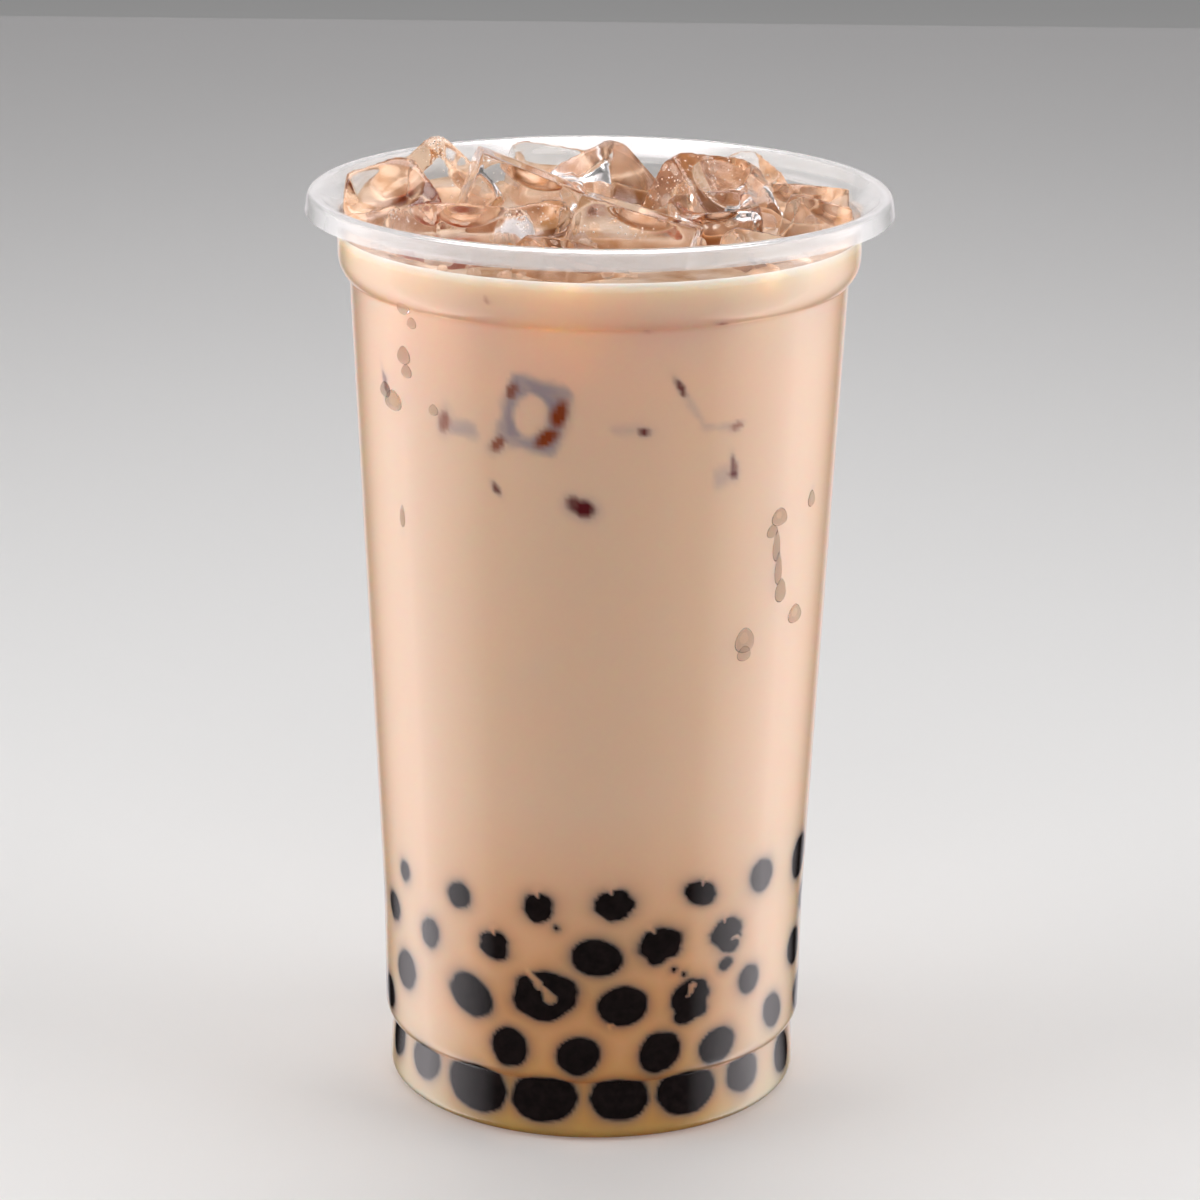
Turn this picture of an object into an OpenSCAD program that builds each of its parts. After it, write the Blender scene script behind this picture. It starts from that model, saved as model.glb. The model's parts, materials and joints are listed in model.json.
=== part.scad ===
// Bubble tea: iced milk tea with tapioca pearls in a tall, clear, thin-walled plastic cup.
// Millimetres, +Z up. The origin is the middle of the cup's foot, on the table.

/* [Cup] */
// Outer diameter of the lip's skirt
rim_d = 95; // [80:1:114]
// Height of the cup, from the table to the top of the lip
cup_h = 151.5; // [126:0.5:182]
// Thickness of the cup's wall
wall_t = 0.6; // [0.4:0.1:0.8]
// Height of the band between the lip and the stacking shoulder
band_h = 10.8; // [9:0.1:13]
// How far the band stands out from the wall below it
shoulder_step = 1.9; // [1.5:0.1:2.4]
// Height over which the band rounds in to the shoulder's crease
shoulder_h = 4.1; // [3.4:0.1:5]
// Diameter of the foot band at its widest
foot_d = 68.4; // [57:0.1:82]
// Height of the foot band, up to its crease
foot_h = 10.2; // [8.5:0.1:12.3]
// Radius of the foot's lower corner
foot_corner_r = 2.3; // [1.8:0.1:2.8]
// Height of the hollow under the base
punt_h = 2; // [1:0.1:3]

/* [Lip] */
// How far the lip stands out past the band
lip_overhang = 5.2; // [4.4:0.1:6.2]
// Height of the lip, from its skirt's edge to its crest
lip_h = 3.3; // [2.8:0.1:4]
// Outer radius of the lip's rounded crest
crest_r = 1.3; // [1.1:0.1:1.5]

/* [Milk tea] */
// Drop from the lip's crest to the level of the tea
tea_drop = 6.8; // [5.7:0.1:12]

/* [Pearls] */
// Diameter of a tapioca pearl
pearl_d = 9.2; // [7.6:0.1:9.4]
// How far a pearl is pressed flat against the wall
pearl_press = 1.2; // [0.8:0.1:1.5]
// Pearls in one full row round the wall
pearls_in_row = 17; // [12:1:17]
// Full rows of pearls
pearl_rows = 5; // [3:1:8]
// Height from one row to the next
row_pitch = 8.6; // [8.6:0.1:11]
// Height of the lowest row's centres above the cup's floor
first_row_h = 4.4; // [4.4:0.1:5.5]

/* [Ice] */
// Side of an ice cube
ice_side = 18; // [15:0.5:21.5]
// Share of a cube's half diagonal at which its melted corners are rounded off
ice_melt = 0.9; // [0.75:0.01:0.95]
// Depth of the dimple in one face of a cube
dimple_h = 3; // [1.5:0.1:4.5]
// Gap that meltwater leaves between two touching cubes
ice_gap = 0.3; // [0.2:0.1:0.6]

/* [Hidden] */
fine = 96;

// Where the cup's outline turns, as radius and height.
rim_r = rim_d / 2;
skirt_lean = 0.3;
band_r = rim_r - lip_overhang;
foot_r = foot_d / 2;
foot_upright = 0.9;
crease_in = 0.5;
heel_h = 2.7;
heel_out = 0.74;
upright_h = 18.8;
upright_out = 0.28;
shoulder_z = cup_h - lip_h - band_h;
flare_r = 3.2;
punt_in = 6.6;
foot_ring_w = 2.3;

// Ice cubes: how far out as a share of the band's radius, bearing, height of the centre
// above the tea, turn about X, Y and Z, and size against ice_side.
ICE = [
    [0.81, 175, -0.4, 20, -15, 20, 0.84],
    [0.75, 148, 0.1, 45, 35, 90, 0.84],
    [0.36, 161, 0.4, -6, 22, 3, 1.00],
    [0.70, 221, -2.0, -15, 10, 30, 1.00],
    [0.88, 198, -0.8, 10, -12, 0, 0.54],
    [0.74, 105, -2.5, 15, 10, 10, 0.88],
    [0.61, 90, -2.0, 40, -15, 40, 0.84],
    [0.84, 49, -3.2, 10, -20, 20, 0.84],
    [0.48, 27, -1.2, 30, 10, 30, 0.94],
    [0.40, 284, -2.5, -10, 15, -8, 1.05],
    [0.45, 348, -0.6, 4, -4, 12, 0.72],
    [0.87, 352, -2.6, -20, 12, -15, 0.84],
    [0.82, 317, -3.7, 20, 15, 30, 0.72],
    [0.82, 17, -1.7, -10, 10, 30, 0.78],
    [0.43, 237, -2.0, 12, -10, 15, 0.78],
    [0.76, 261, -3.0, 8, 12, 40, 0.76]
];

// Points along an arc, from angle a0 to angle a1, in n steps.
function arc(centre, r, a0, a1, n) =
    [for (i = [0:n]) centre + r * [cos(a0 + (a1 - a0) * i / n), sin(a0 + (a1 - a0) * i / n)]];

function unit(v) = v / norm(v);
function left_of(v) = [-v[1], v[0]];

// The path moved d to its left, with mitred corners.
function beside(path, d) = [
    for (i = [0:len(path) - 1])
        let (
            before = unit(path[max(i, 1)] - path[max(i, 1) - 1]),
            after = unit(path[min(i, len(path) - 2) + 1] - path[min(i, len(path) - 2)]),
            middle = left_of(unit(before + after)))
        path[i] + middle * d / (middle * left_of(after))
];

// Radius of an arc that rounds in by across over the height up.
function bend_r(across, up) = (pow(across, 2) + pow(up, 2)) / (2 * across);

// Underside and outside of the cup, from the middle of its base up to the lip's crest and skirt.
foot_flat_r = foot_r - foot_corner_r;
crease_r = foot_r - crease_in;
heel_r = foot_r + heel_out;
heel_bend = bend_r(heel_r - crease_r, heel_h);
wall_low = [heel_r + upright_out, foot_h + heel_h + upright_h];
wall_high = [band_r - shoulder_step, shoulder_z];
shoulder_bend = bend_r(shoulder_step, shoulder_h);
crest = [rim_r - skirt_lean - crest_r, cup_h - crest_r];
crest_bend = crest_r - wall_t;
flare_x = band_r + flare_r;
flare_z = crest[1] - (crest[0] - flare_x) + sqrt(2) * (crest_bend - flare_r);
base_part = concat(
    [[0, punt_h], [foot_r - punt_in, punt_h], [foot_flat_r - foot_ring_w, 0]],
    arc([foot_flat_r, foot_corner_r], foot_corner_r, -90, 0, 8),
    [[foot_r, foot_corner_r + foot_upright], [crease_r, foot_h]]);
wall_part = concat(
    arc([heel_r - heel_bend, foot_h + heel_h], heel_bend, 2 - asin(heel_h / heel_bend), 0, 6),
    [wall_low, wall_high]);
band_part = arc([band_r - shoulder_bend, shoulder_z + shoulder_h], shoulder_bend,
    2 - asin(shoulder_h / shoulder_bend), 0, 6);
lip_part = concat(
    arc([flare_x, flare_z], flare_r, 180, 135, 6),
    arc(crest, crest_bend, 135, 0, 10),
    [[rim_r - wall_t, cup_h - lip_h]]);
outline = concat(base_part, wall_part, band_part, lip_part);
inner_outline = beside(outline, wall_t);

band_points = len(base_part) + len(wall_part) + len(band_part);
floor_z = punt_h + wall_t;
tea_z = cup_h - tea_drop;

// Radius of the room at height z: foot band, then the upright, then the straight wall above it.
function room_r(z) = (z < foot_h ? crease_r : z < wall_low[1] ? heel_r
    : wall_low[0] + (wall_high[0] - wall_low[0]) * (z - wall_low[1]) / (wall_high[1] - wall_low[1]))
    - wall_t;

// Pearls lie in rows round the wall, every other row shifted by half a pearl, each a little astray.
// A film of tea stays between a pearl's flat and the wall.
film = 0.3;
front = -90;
first_bearing = 7.6;
astray = 0.3;
uneven = 0.03;
stray = rands(-1, 1, 3 * pearls_in_row * pearl_rows, 7);

module cup() {
    color([0.93, 0.94, 0.95, 0.35])
        rotate_extrude($fn = fine)
            polygon(concat(outline, [for (i = [len(outline) - 1:-1:0]) inner_outline[i]]));
}

// The room inside the cup up to height top, standing clear of the wall by gap.
module room(top, gap = 0) {
    edge = beside(outline, wall_t + gap);
    rotate_extrude($fn = fine)
        polygon(concat([for (i = [0:band_points - 1]) edge[i]],
            [[band_r - wall_t - gap, top], [0, top]]));
}

// A ball pressed flat on its +X side.
module pearl(d, press) {
    difference() {
        sphere(d = d, $fn = 48);
        translate([d / 2 - press, -d / 2, -d / 2])
            cube(d);
    }
}

module pearls() {
    color([0.07, 0.05, 0.05])
        for (row = [0:pearl_rows - 1], i = [0:pearls_in_row - 1]) {
            k = 3 * (row * pearls_in_row + i);
            z = floor_z + first_row_h + row * row_pitch + astray * stray[k] * min(row, 1);
            d = pearl_d * (1 - uneven + uneven * stray[k + 1]);
            flat_x = room_r(z) - film;
            bearing = front + first_bearing + 360 / pearls_in_row * (i - (row % 2) / 2)
                + atan(astray * stray[k + 2] / flat_x);
            rotate([0, 0, bearing])
                translate([flat_x + pearl_press - d / 2, 0, z])
                    pearl(d, pearl_press);
        }
}

// One half-melted cube with a dimple in its top, about its own centre.
module ice_cube(side) {
    dimple_r = side * 0.55;
    difference() {
        intersection() {
            cube(side, center = true);
            sphere(r = side * sqrt(3) / 2 * ice_melt, $fn = 48);
        }
        translate([0, 0, side / 2 + dimple_r - dimple_h])
            sphere(r = dimple_r, $fn = 48);
    }
}

// Cube i where it floats, its side longer by extra.
module floating(i, extra = 0) {
    c = ICE[i];
    rotate([0, 0, c[1]])
        translate([band_r * c[0], 0, tea_z + c[2]])
            rotate([0, 0, -c[1]])
                rotate([c[3], c[4], c[5]])
                    ice_cube(ice_side * c[6] + extra);
}

// Where two cubes meet, the later one has melted back round the earlier one.
module ice(i) {
    color([0.86, 0.90, 0.93, 0.45])
        difference() {
            intersection() {
                floating(i);
                room(cup_h + ice_side, ice_gap);
            }
            for (j = [0:1:i - 1])
                floating(j, 2 * ice_gap);
        }
}

module milk_tea() {
    color([0.80, 0.62, 0.47])
        difference() {
            room(tea_z);
            pearls();
            for (i = [0:len(ICE) - 1])
                floating(i);
        }
}

cup();
milk_tea();
pearls();
for (i = [0:len(ICE) - 1])
    ice(i);
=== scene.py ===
import json
import math
import random
import bmesh
import bpy
import numpy as np
from mathutils import Matrix, Vector, noise

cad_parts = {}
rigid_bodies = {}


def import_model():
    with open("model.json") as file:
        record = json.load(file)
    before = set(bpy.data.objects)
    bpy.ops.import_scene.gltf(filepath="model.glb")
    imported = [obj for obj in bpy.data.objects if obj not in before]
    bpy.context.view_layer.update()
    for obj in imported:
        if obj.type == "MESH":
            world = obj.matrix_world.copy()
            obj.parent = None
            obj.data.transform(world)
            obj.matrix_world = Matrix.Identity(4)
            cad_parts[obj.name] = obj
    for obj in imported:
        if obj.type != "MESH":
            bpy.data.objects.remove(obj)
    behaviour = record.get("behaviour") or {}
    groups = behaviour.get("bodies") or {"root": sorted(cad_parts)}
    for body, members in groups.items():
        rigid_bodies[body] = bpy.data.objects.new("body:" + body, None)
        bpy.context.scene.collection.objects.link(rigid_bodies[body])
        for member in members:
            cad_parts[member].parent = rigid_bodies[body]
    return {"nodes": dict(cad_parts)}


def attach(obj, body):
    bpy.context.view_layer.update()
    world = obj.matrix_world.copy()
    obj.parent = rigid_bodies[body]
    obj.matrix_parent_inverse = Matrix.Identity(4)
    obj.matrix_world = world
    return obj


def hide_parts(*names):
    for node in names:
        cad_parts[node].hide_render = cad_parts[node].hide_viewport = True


for leftover in list(bpy.data.objects):
    bpy.data.objects.remove(leftover, do_unlink=True)

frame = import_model()
bpy.context.view_layer.update()
mm = 0.001
print("frame loaded")


# small helpers for nodes and meshes

def setInputs(node, **values):
    for name, value in values.items():
        node.inputs[name.replace("_", " ")].default_value = value
    return node


def newMaterial(name):
    mat = bpy.data.materials.new(name)
    mat.use_nodes = True
    tree = mat.node_tree
    tree.nodes.clear()
    out = tree.nodes.new("ShaderNodeOutputMaterial")
    return mat, tree, out


def addNode(tree, kind, **settings):
    node = tree.nodes.new(kind)
    for name, value in settings.items():
        setattr(node, name, value)
    return node


def mixColours(tree, factor, first, second, blend="MIX"):
    node = addNode(tree, "ShaderNodeMix", data_type="RGBA", blend_type=blend)
    for place, value in ((0, factor), (6, first), (7, second)):
        socket = node.inputs[place]
        if isinstance(value, bpy.types.NodeSocket):
            tree.links.new(value, socket)
        else:
            socket.default_value = value
    return node.outputs[2]


def mathNode(tree, operation, first, second=None, clamp=False):
    node = addNode(tree, "ShaderNodeMath", operation=operation, use_clamp=clamp)
    for socket, value in zip(node.inputs, (first, second)):
        if value is None:
            continue
        if isinstance(value, bpy.types.NodeSocket):
            tree.links.new(value, socket)
        else:
            socket.default_value = value
    return node.outputs[0]


def mottleGroup():
    group = bpy.data.node_groups.new("mottle", "ShaderNodeTree")
    face = group.interface
    face.new_socket("Scale", in_out="INPUT", socket_type="NodeSocketFloat").default_value = 100
    face.new_socket("Contrast", in_out="INPUT", socket_type="NodeSocketFloat").default_value = 2
    face.new_socket("Mask", in_out="OUTPUT", socket_type="NodeSocketFloat")
    start = group.nodes.new("NodeGroupInput")
    end = group.nodes.new("NodeGroupOutput")
    where = group.nodes.new("ShaderNodeTexCoord")
    cloud = group.nodes.new("ShaderNodeTexNoise")
    cloud.inputs["Detail"].default_value = 4
    group.links.new(where.outputs["Object"], cloud.inputs["Vector"])
    group.links.new(start.outputs["Scale"], cloud.inputs["Scale"])
    spread = mathNode(group, "SUBTRACT", cloud.outputs["Fac"], 0.5)
    spread = mathNode(group, "MULTIPLY", spread, start.outputs["Contrast"])
    spread = mathNode(group, "ADD", spread, 0.5, clamp=True)
    group.links.new(spread, end.inputs["Mask"])
    return group


mottle = mottleGroup()


def addMottle(tree, scale, contrast):
    node = addNode(tree, "ShaderNodeGroup", node_tree=mottle)
    node.inputs["Scale"].default_value = scale
    node.inputs["Contrast"].default_value = contrast
    return node.outputs["Mask"]


def addBump(tree, shader, height, strength, distance):
    bump = addNode(tree, "ShaderNodeBump")
    bump.inputs["Strength"].default_value = strength
    bump.inputs["Distance"].default_value = distance
    tree.links.new(height, bump.inputs["Height"])
    tree.links.new(bump.outputs["Normal"], shader.inputs["Normal"])


def letLightThrough(tree, out, shader, share):
    # clear pieces cast a faint shadow only
    path = addNode(tree, "ShaderNodeLightPath")
    clear = addNode(tree, "ShaderNodeBsdfTransparent")
    clear.inputs["Color"].default_value = (share, share, share, 1)
    mix = addNode(tree, "ShaderNodeMixShader")
    tree.links.new(path.outputs["Is Shadow Ray"], mix.inputs[0])
    tree.links.new(shader.outputs[0], mix.inputs[1])
    tree.links.new(clear.outputs[0], mix.inputs[2])
    tree.links.new(mix.outputs[0], out.inputs["Surface"])


def meshPiece(name, verts, faces, mat, smooth=True):
    mesh = bpy.data.meshes.new(name)
    mesh.from_pydata([tuple(v) for v in verts], [], [tuple(f) for f in faces])
    mesh.validate()
    piece = bpy.data.objects.new(name, mesh)
    bpy.context.scene.collection.objects.link(piece)
    mesh.materials.append(mat)
    if smooth:
        mesh.polygons.foreach_set("use_smooth", [True] * len(mesh.polygons))
    mesh.update()
    return piece


def ringFaces(rings, turned=False):
    # the faces between each ring of points and the next; a ring of one point closes the end
    faces = []
    for low, high in zip(rings, rings[1:]):
        count = max(len(low), len(high))
        for i in range(count):
            j = (i + 1) % count
            if len(low) == 1:
                face = (low[0], high[i], high[j])
            elif len(high) == 1:
                face = (low[i], high[0], low[j])
            else:
                face = (low[i], high[i], high[j], low[j])
            faces.append((face[0], *face[:0:-1]) if turned else face)
    return faces


def facesOutward(mesh):
    bm = bmesh.new()
    bm.from_mesh(mesh)
    bmesh.ops.recalc_face_normals(bm, faces=bm.faces)
    bm.to_mesh(mesh)
    bm.free()


def lathe(path, count):
    # turns a path of (radius, height) round Z; ends on the axis close to a point
    verts, rings = [], []
    turn = np.arange(count) * 2 * np.pi / count
    for radius, height in path:
        if radius < 1e-7:
            rings.append([len(verts)])
            verts.append((0, 0, height))
        else:
            rings.append(list(range(len(verts), len(verts) + count)))
            verts.extend(zip(radius * np.cos(turn), radius * np.sin(turn), [height] * count))
    return np.array(verts), ringFaces(rings, True)


def mergedCopy(nodeName, newName):
    mesh = bpy.data.objects[nodeName].data.copy()
    mesh.name = newName
    bm = bmesh.new()
    bm.from_mesh(mesh)
    bmesh.ops.remove_doubles(bm, verts=bm.verts, dist=1e-6)
    bm.to_mesh(mesh)
    bm.free()
    mesh.materials.clear()
    for layer in list(mesh.attributes):
        if layer.name.startswith("custom_normal"):
            mesh.attributes.remove(layer)
    piece = bpy.data.objects.new(newName, mesh)
    bpy.context.scene.collection.objects.link(piece)
    return piece


def applyModifiers(piece):
    graph = bpy.context.evaluated_depsgraph_get()
    mesh = bpy.data.meshes.new_from_object(piece.evaluated_get(graph))
    old = piece.data
    piece.modifiers.clear()
    piece.data = mesh
    bpy.data.meshes.remove(old)


# camera, floor and lights

# sideSpread keeps the side boxes' light off the floor beside them
studio = dict(eye=(0.67, -685.4, 289.6), pitchDown=16.826, roll=0.595, lens=129.71,
              floorTone=(0.84, 0.835, 0.83), frontWatts=1.95, sideWatts=1.02, topWatts=3.0,
              skyStrength=0.22, cardGlow=2.9, backGlow=0.7, topGlow=6.0, cardTint=(1.0, 0.94, 0.97),
              sideSpread=95)

cam = bpy.data.objects.new("camera", bpy.data.cameras.new("camera"))
bpy.context.scene.collection.objects.link(cam)
cam.data.sensor_width = 36
cam.data.lens = studio["lens"]
cam.data.clip_start = 0.01
cam.matrix_world = (Matrix.Translation(Vector(studio["eye"]) * mm)
                    @ Matrix.Rotation(math.radians(90 - studio["pitchDown"]), 4, "X")
                    @ Matrix.Rotation(math.radians(studio["roll"]), 4, "Z"))
bpy.context.scene.camera = cam
bpy.context.scene.view_settings.view_transform = "Standard"

floorMat, tree, out = newMaterial("paleFloor")
shader = setInputs(addNode(tree, "ShaderNodeBsdfPrincipled"), Roughness=0.6)
grain = addMottle(tree, 6, 0.6)
paler = [c * 1.04 for c in studio["floorTone"]]
tree.links.new(mixColours(tree, grain, (*studio["floorTone"], 1), (*paler, 1)),
               shader.inputs["Base Color"])
tree.links.new(shader.outputs[0], out.inputs["Surface"])
floor = meshPiece("floor", [(-4, -4, 0), (4, -4, 0), (4, 4, 0), (-4, 4, 0)], [(0, 1, 2, 3)],
                  floorMat, False)
floor.visible_glossy = False  # gloss on the cup shows the light cards and not the floor
floor.visible_shadow = False


def softBox(name, place, aim, width, height, watts, glossy=True):
    data = bpy.data.lights.new(name, "AREA")
    data.shape = "RECTANGLE"
    data.size, data.size_y = width, height
    data.energy = watts
    data.spread = math.radians(180 if glossy else studio["sideSpread"])
    lamp = bpy.data.objects.new(name, data)
    lamp.location = place
    lamp.rotation_euler = (Vector(aim) - Vector(place)).to_track_quat("-Z", "Y").to_euler()
    lamp.visible_camera = False
    lamp.visible_glossy = glossy
    bpy.context.scene.collection.objects.link(lamp)
    return lamp


def lightCard(name, corners, strength, fade):
    # a soft-edged white card that only gloss and clear pieces see
    mat, tree, out = newMaterial(name)
    where = addNode(tree, "ShaderNodeUVMap", uv_map="card")
    parts = addNode(tree, "ShaderNodeSeparateXYZ")
    tree.links.new(where.outputs[0], parts.inputs[0])
    level = strength
    for axis, (start, end) in enumerate(fade):
        rising = mathNode(tree, "DIVIDE", parts.outputs[axis], start)
        left = mathNode(tree, "SUBTRACT", 1.0, parts.outputs[axis])
        falling = mathNode(tree, "POWER", mathNode(tree, "DIVIDE", left, end), 2.0)
        edge = mathNode(tree, "MINIMUM", rising, falling, clamp=True)
        level = mathNode(tree, "MULTIPLY", edge, level)
    glow = addNode(tree, "ShaderNodeEmission")
    glow.inputs["Color"].default_value = (*studio["cardTint"], 1)
    tree.links.new(level, glow.inputs["Strength"])
    tree.links.new(glow.outputs[0], out.inputs["Surface"])
    mat.cycles.emission_sampling = "NONE"
    card = meshPiece(name, corners, [(0, 1, 2, 3)], mat, False)
    layer = card.data.uv_layers.new(name="card")
    for loop, spot in zip(layer.data, ((0, 0), (1, 0), (1, 1), (0, 1))):
        loop.uv = spot
    card.visible_camera = card.visible_diffuse = card.visible_shadow = False
    return card


softBox("frontBox", (0.0, -1.0, 0.85), (0, 0, 0.07), 0.9, 0.6, studio["frontWatts"])
softBox("leftBox", (-0.7, -0.12, 0.35), (0, 0, 0.07), 0.6, 0.6, studio["sideWatts"], False)
softBox("rightBox", (0.7, -0.12, 0.35), (0, 0, 0.07), 0.6, 0.6, studio["sideWatts"], False)
softBox("topBox", (0.0, 0.35, 0.95), (0, 0, 0.1), 0.7, 0.5, studio["topWatts"])
for side in (-1, 1):
    x = side * 0.6
    lightCard("leftCard" if side < 0 else "rightCard",
              [(x, -0.44, -0.9), (x, 1.0, -0.9), (x, 1.0, 0.8), (x, -0.44, 0.8)],
              studio["cardGlow"], ((0.40, 0.60), (0.12, 0.12)))
lightCard("backCard", [(0.6, 1.1, -0.9), (-0.6, 1.1, -0.9), (-0.6, 1.1, 0.8), (0.6, 1.1, 0.8)],
          studio["backGlow"], ((0.2, 0.2), (0.1, 0.1)))
lightCard("topCard",
          [(-0.45, -0.35, 1.0), (0.45, -0.35, 1.0), (0.45, 0.75, 1.0), (-0.45, 0.75, 1.0)],
          studio["topGlow"], ((0.15, 0.15), (0.15, 0.15)))
world = bpy.data.worlds.new("studio")
world.use_nodes = True
tree = world.node_tree
where = addNode(tree, "ShaderNodeTexCoord")
parts = addNode(tree, "ShaderNodeSeparateXYZ")
tree.links.new(where.outputs["Generated"], parts.inputs[0])
above = mathNode(tree, "GREATER_THAN", parts.outputs["Z"], 0.0)
sky = tree.nodes["Background"]
sky.inputs["Color"].default_value = (1, 1, 1, 1)
tree.links.new(mathNode(tree, "MULTIPLY", above, studio["skyStrength"]), sky.inputs["Strength"])
bpy.context.scene.world = world
print("studio set")


# cup: the wall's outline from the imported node, turned finely round the axis

cupLook = dict(segments=256, sharpTurn=20, lipFrom=147.6)


def cupPath():
    piece = mergedCopy("cup", "cupSeam")
    bm = bmesh.new()
    bm.from_mesh(piece.data)
    onSeam = {v for v in bm.verts if abs(v.co.y) < 1e-6 and v.co.x > -1e-6}
    near = {v: [e.other_vert(v) for e in v.link_edges if e.other_vert(v) in onSeam] for v in onSeam}
    start = min((v for v in onSeam if len(near[v]) == 1), key=lambda v: v.co.z)
    path, seen = [start], {start}
    while True:
        ahead = [v for v in near[path[-1]] if v not in seen]
        if not ahead:
            break
        path.append(ahead[0])
        seen.add(ahead[0])
    points = [(0, path[0].co.z)] + [(v.co.x, v.co.z) for v in path] + [(0, path[-1].co.z)]
    bm.free()
    bpy.data.objects.remove(piece)
    return points


wallPath = cupPath()
crestAt = max(range(len(wallPath)), key=lambda i: wallPath[i][1])
innerPath = wallPath[crestAt:]
innerPath = innerPath[next(i for i, p in enumerate(innerPath) if p[1] < 148.0 * mm):]
print("cup path", len(wallPath), "points, inner", len(innerPath))


def cupMaterials():
    clear, tree, out = newMaterial("clearWall")
    shader = setInputs(addNode(tree, "ShaderNodeBsdfPrincipled"), Roughness=0.06, IOR=1.49,
                       Transmission_Weight=1.0, Base_Color=(0.985, 0.985, 0.98, 1))
    streaks = addMottle(tree, 900, 1.2)
    addBump(tree, shader, streaks, 0.05, 0.0001)
    letLightThrough(tree, out, shader, 0.93)
    milky, tree, out = newMaterial("lipPlastic")
    shader = setInputs(addNode(tree, "ShaderNodeBsdfPrincipled"), Roughness=0.08, IOR=1.49,
                       Transmission_Weight=0.76, Base_Color=(0.98, 0.975, 0.97, 1))
    streaks = addMottle(tree, 400, 1.5)
    addBump(tree, shader, streaks, 0.06, 0.0002)
    letLightThrough(tree, out, shader, 0.85)
    return clear, milky


clearWall, lipPlastic = cupMaterials()
verts, faces = lathe(wallPath, cupLook["segments"])
cup = meshPiece("cupShell", verts, faces, clearWall)
cup.data.materials.append(lipPlastic)
bm = bmesh.new()
bm.from_mesh(cup.data)
bmesh.ops.remove_doubles(bm, verts=bm.verts, dist=1e-7)
bmesh.ops.recalc_face_normals(bm, faces=bm.faces)
for edge in bm.edges:
    if len(edge.link_faces) == 2 and math.degrees(edge.calc_face_angle(0)) > cupLook["sharpTurn"]:
        edge.smooth = False
for face in bm.faces:
    if face.calc_center_median().z > cupLook["lipFrom"] * mm:
        face.material_index = 1
bm.to_mesh(cup.data)
bm.free()
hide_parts("cup")
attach(cup, "root")
print("cup made", len(cup.data.polygons))


# pearls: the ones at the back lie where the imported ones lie, the ones at the front by a table

pearlLook = dict(grow=1.03, growSpread=0.07, lumps=0.05, around=30, aroundTorn=72, proud=0.14,
                 thick=4.5, press=0.78, seed=11, dark=(0.006, 0.004, 0.004), backFrom=80, footing=2.4,
                 tearDeep=1.6, tearNear=6.5, tearWall=34.5)

# pearls at the front: bearing from the front, height, half width, half height, tilt,
# film of tea, raggedness
frontPearls = [
    (-60.7, 40.9, 1.4, 1.7, 0, 0.15, 0.5), (-38.1, 40.6, 2.3, 2.2, -20, 0, 0.6),
    (-14.5, 40.8, 2.2, 2.2, 0, 0, 1.2), (5.8, 41.8, 3.0, 2.6, 0, 0, 1.2),
    (29.2, 42.7, 3.0, 1.9, -25, 0.08, 1.0), (51.3, 42.5, 2.6, 2.8, 40, 0.14, 0.4),
    (74.1, 41.4, 3.3, 3.6, 0, 0.12, 0.4), (-69.4, 32.8, 2.4, 2.6, 0, 0.08, 0.4),
    (-49.4, 32.1, 2.0, 2.5, -20, 0, 0.4), (-27.1, 33.3, 2.2, 2.2, 10, 0, 1.2),
    (1.5, 32.9, 3.7, 3.3, 0, 0, 0.2), (18.6, 34.2, 3.3, 2.9, 10, 0, 1.3),
    (38.6, 34.0, 2.6, 3.0, 60, 0.02, 2.2), (38.7, 28.8, 1.2, 0.9, 25, 0, 0.3),
    (-62.2, 22.8, 3.0, 3.3, -20, 0.04, 0.3), (-34.5, 23.4, 4.1, 3.4, -35, 0, 0.5),
    (-12.4, 25.7, 5.3, 3.8, 15, 0, 0.8), (8.3, 24.1, 3.7, 3.4, 0, 0, 0.3),
    (27.7, 23.9, 3.3, 3.7, -10, 0, 1.2), (24.3, 20.9, 0.8, 1.1, 40, 0, 0.5),
    (47.2, 24.8, 2.3, 2.2, 20, 0, 0.4), (73.6, 25.4, 3.1, 3.0, 0, 0.08, 0.3),
    (-76.0, 16.0, 3.0, 2.8, 0, 0.08, 0.3), (-22.5, 15.7, 3.3, 3.3, -35, 0, 0.5),
    (-3.2, 15.3, 3.2, 3.1, 0, 0, 0.3), (18.7, 15.4, 3.3, 3.0, 35, 0, 0.5),
    (37.1, 15.1, 3.3, 2.9, 20, 0, 0.4), (59.8, 16.8, 2.7, 3.2, 30, 0.04, 0.3),
    (-73.0, 8.1, 3.0, 3.3, 0, 0.05, 0.3), (-55.1, 8.0, 3.5, 3.4, 0, 0, 0.3),
    (-33.8, 7.2, 4.8, 4.0, -10, 0, 0.4), (-13.3, 6.8, 4.5, 3.9, -5, 0, 0.6),
    (7.8, 7.0, 4.2, 3.8, 5, 0, 0.5), (28.0, 7.2, 4.5, 3.7, 10, 0, 0.4),
    (48.3, 7.6, 3.4, 3.5, 0, 0, 0.3), (71.5, 6.3, 3.5, 3.5, 0, 0.05, 0.3),
    (22.4, 29.7, 0.35, 0.3, 0, 0, 0.2), (25.4, 28.6, 0.3, 0.3, 0, 0, 0.2),
    (-9.5, 37.6, 0.3, 0.3, 0, 0, 0.2)]

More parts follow.
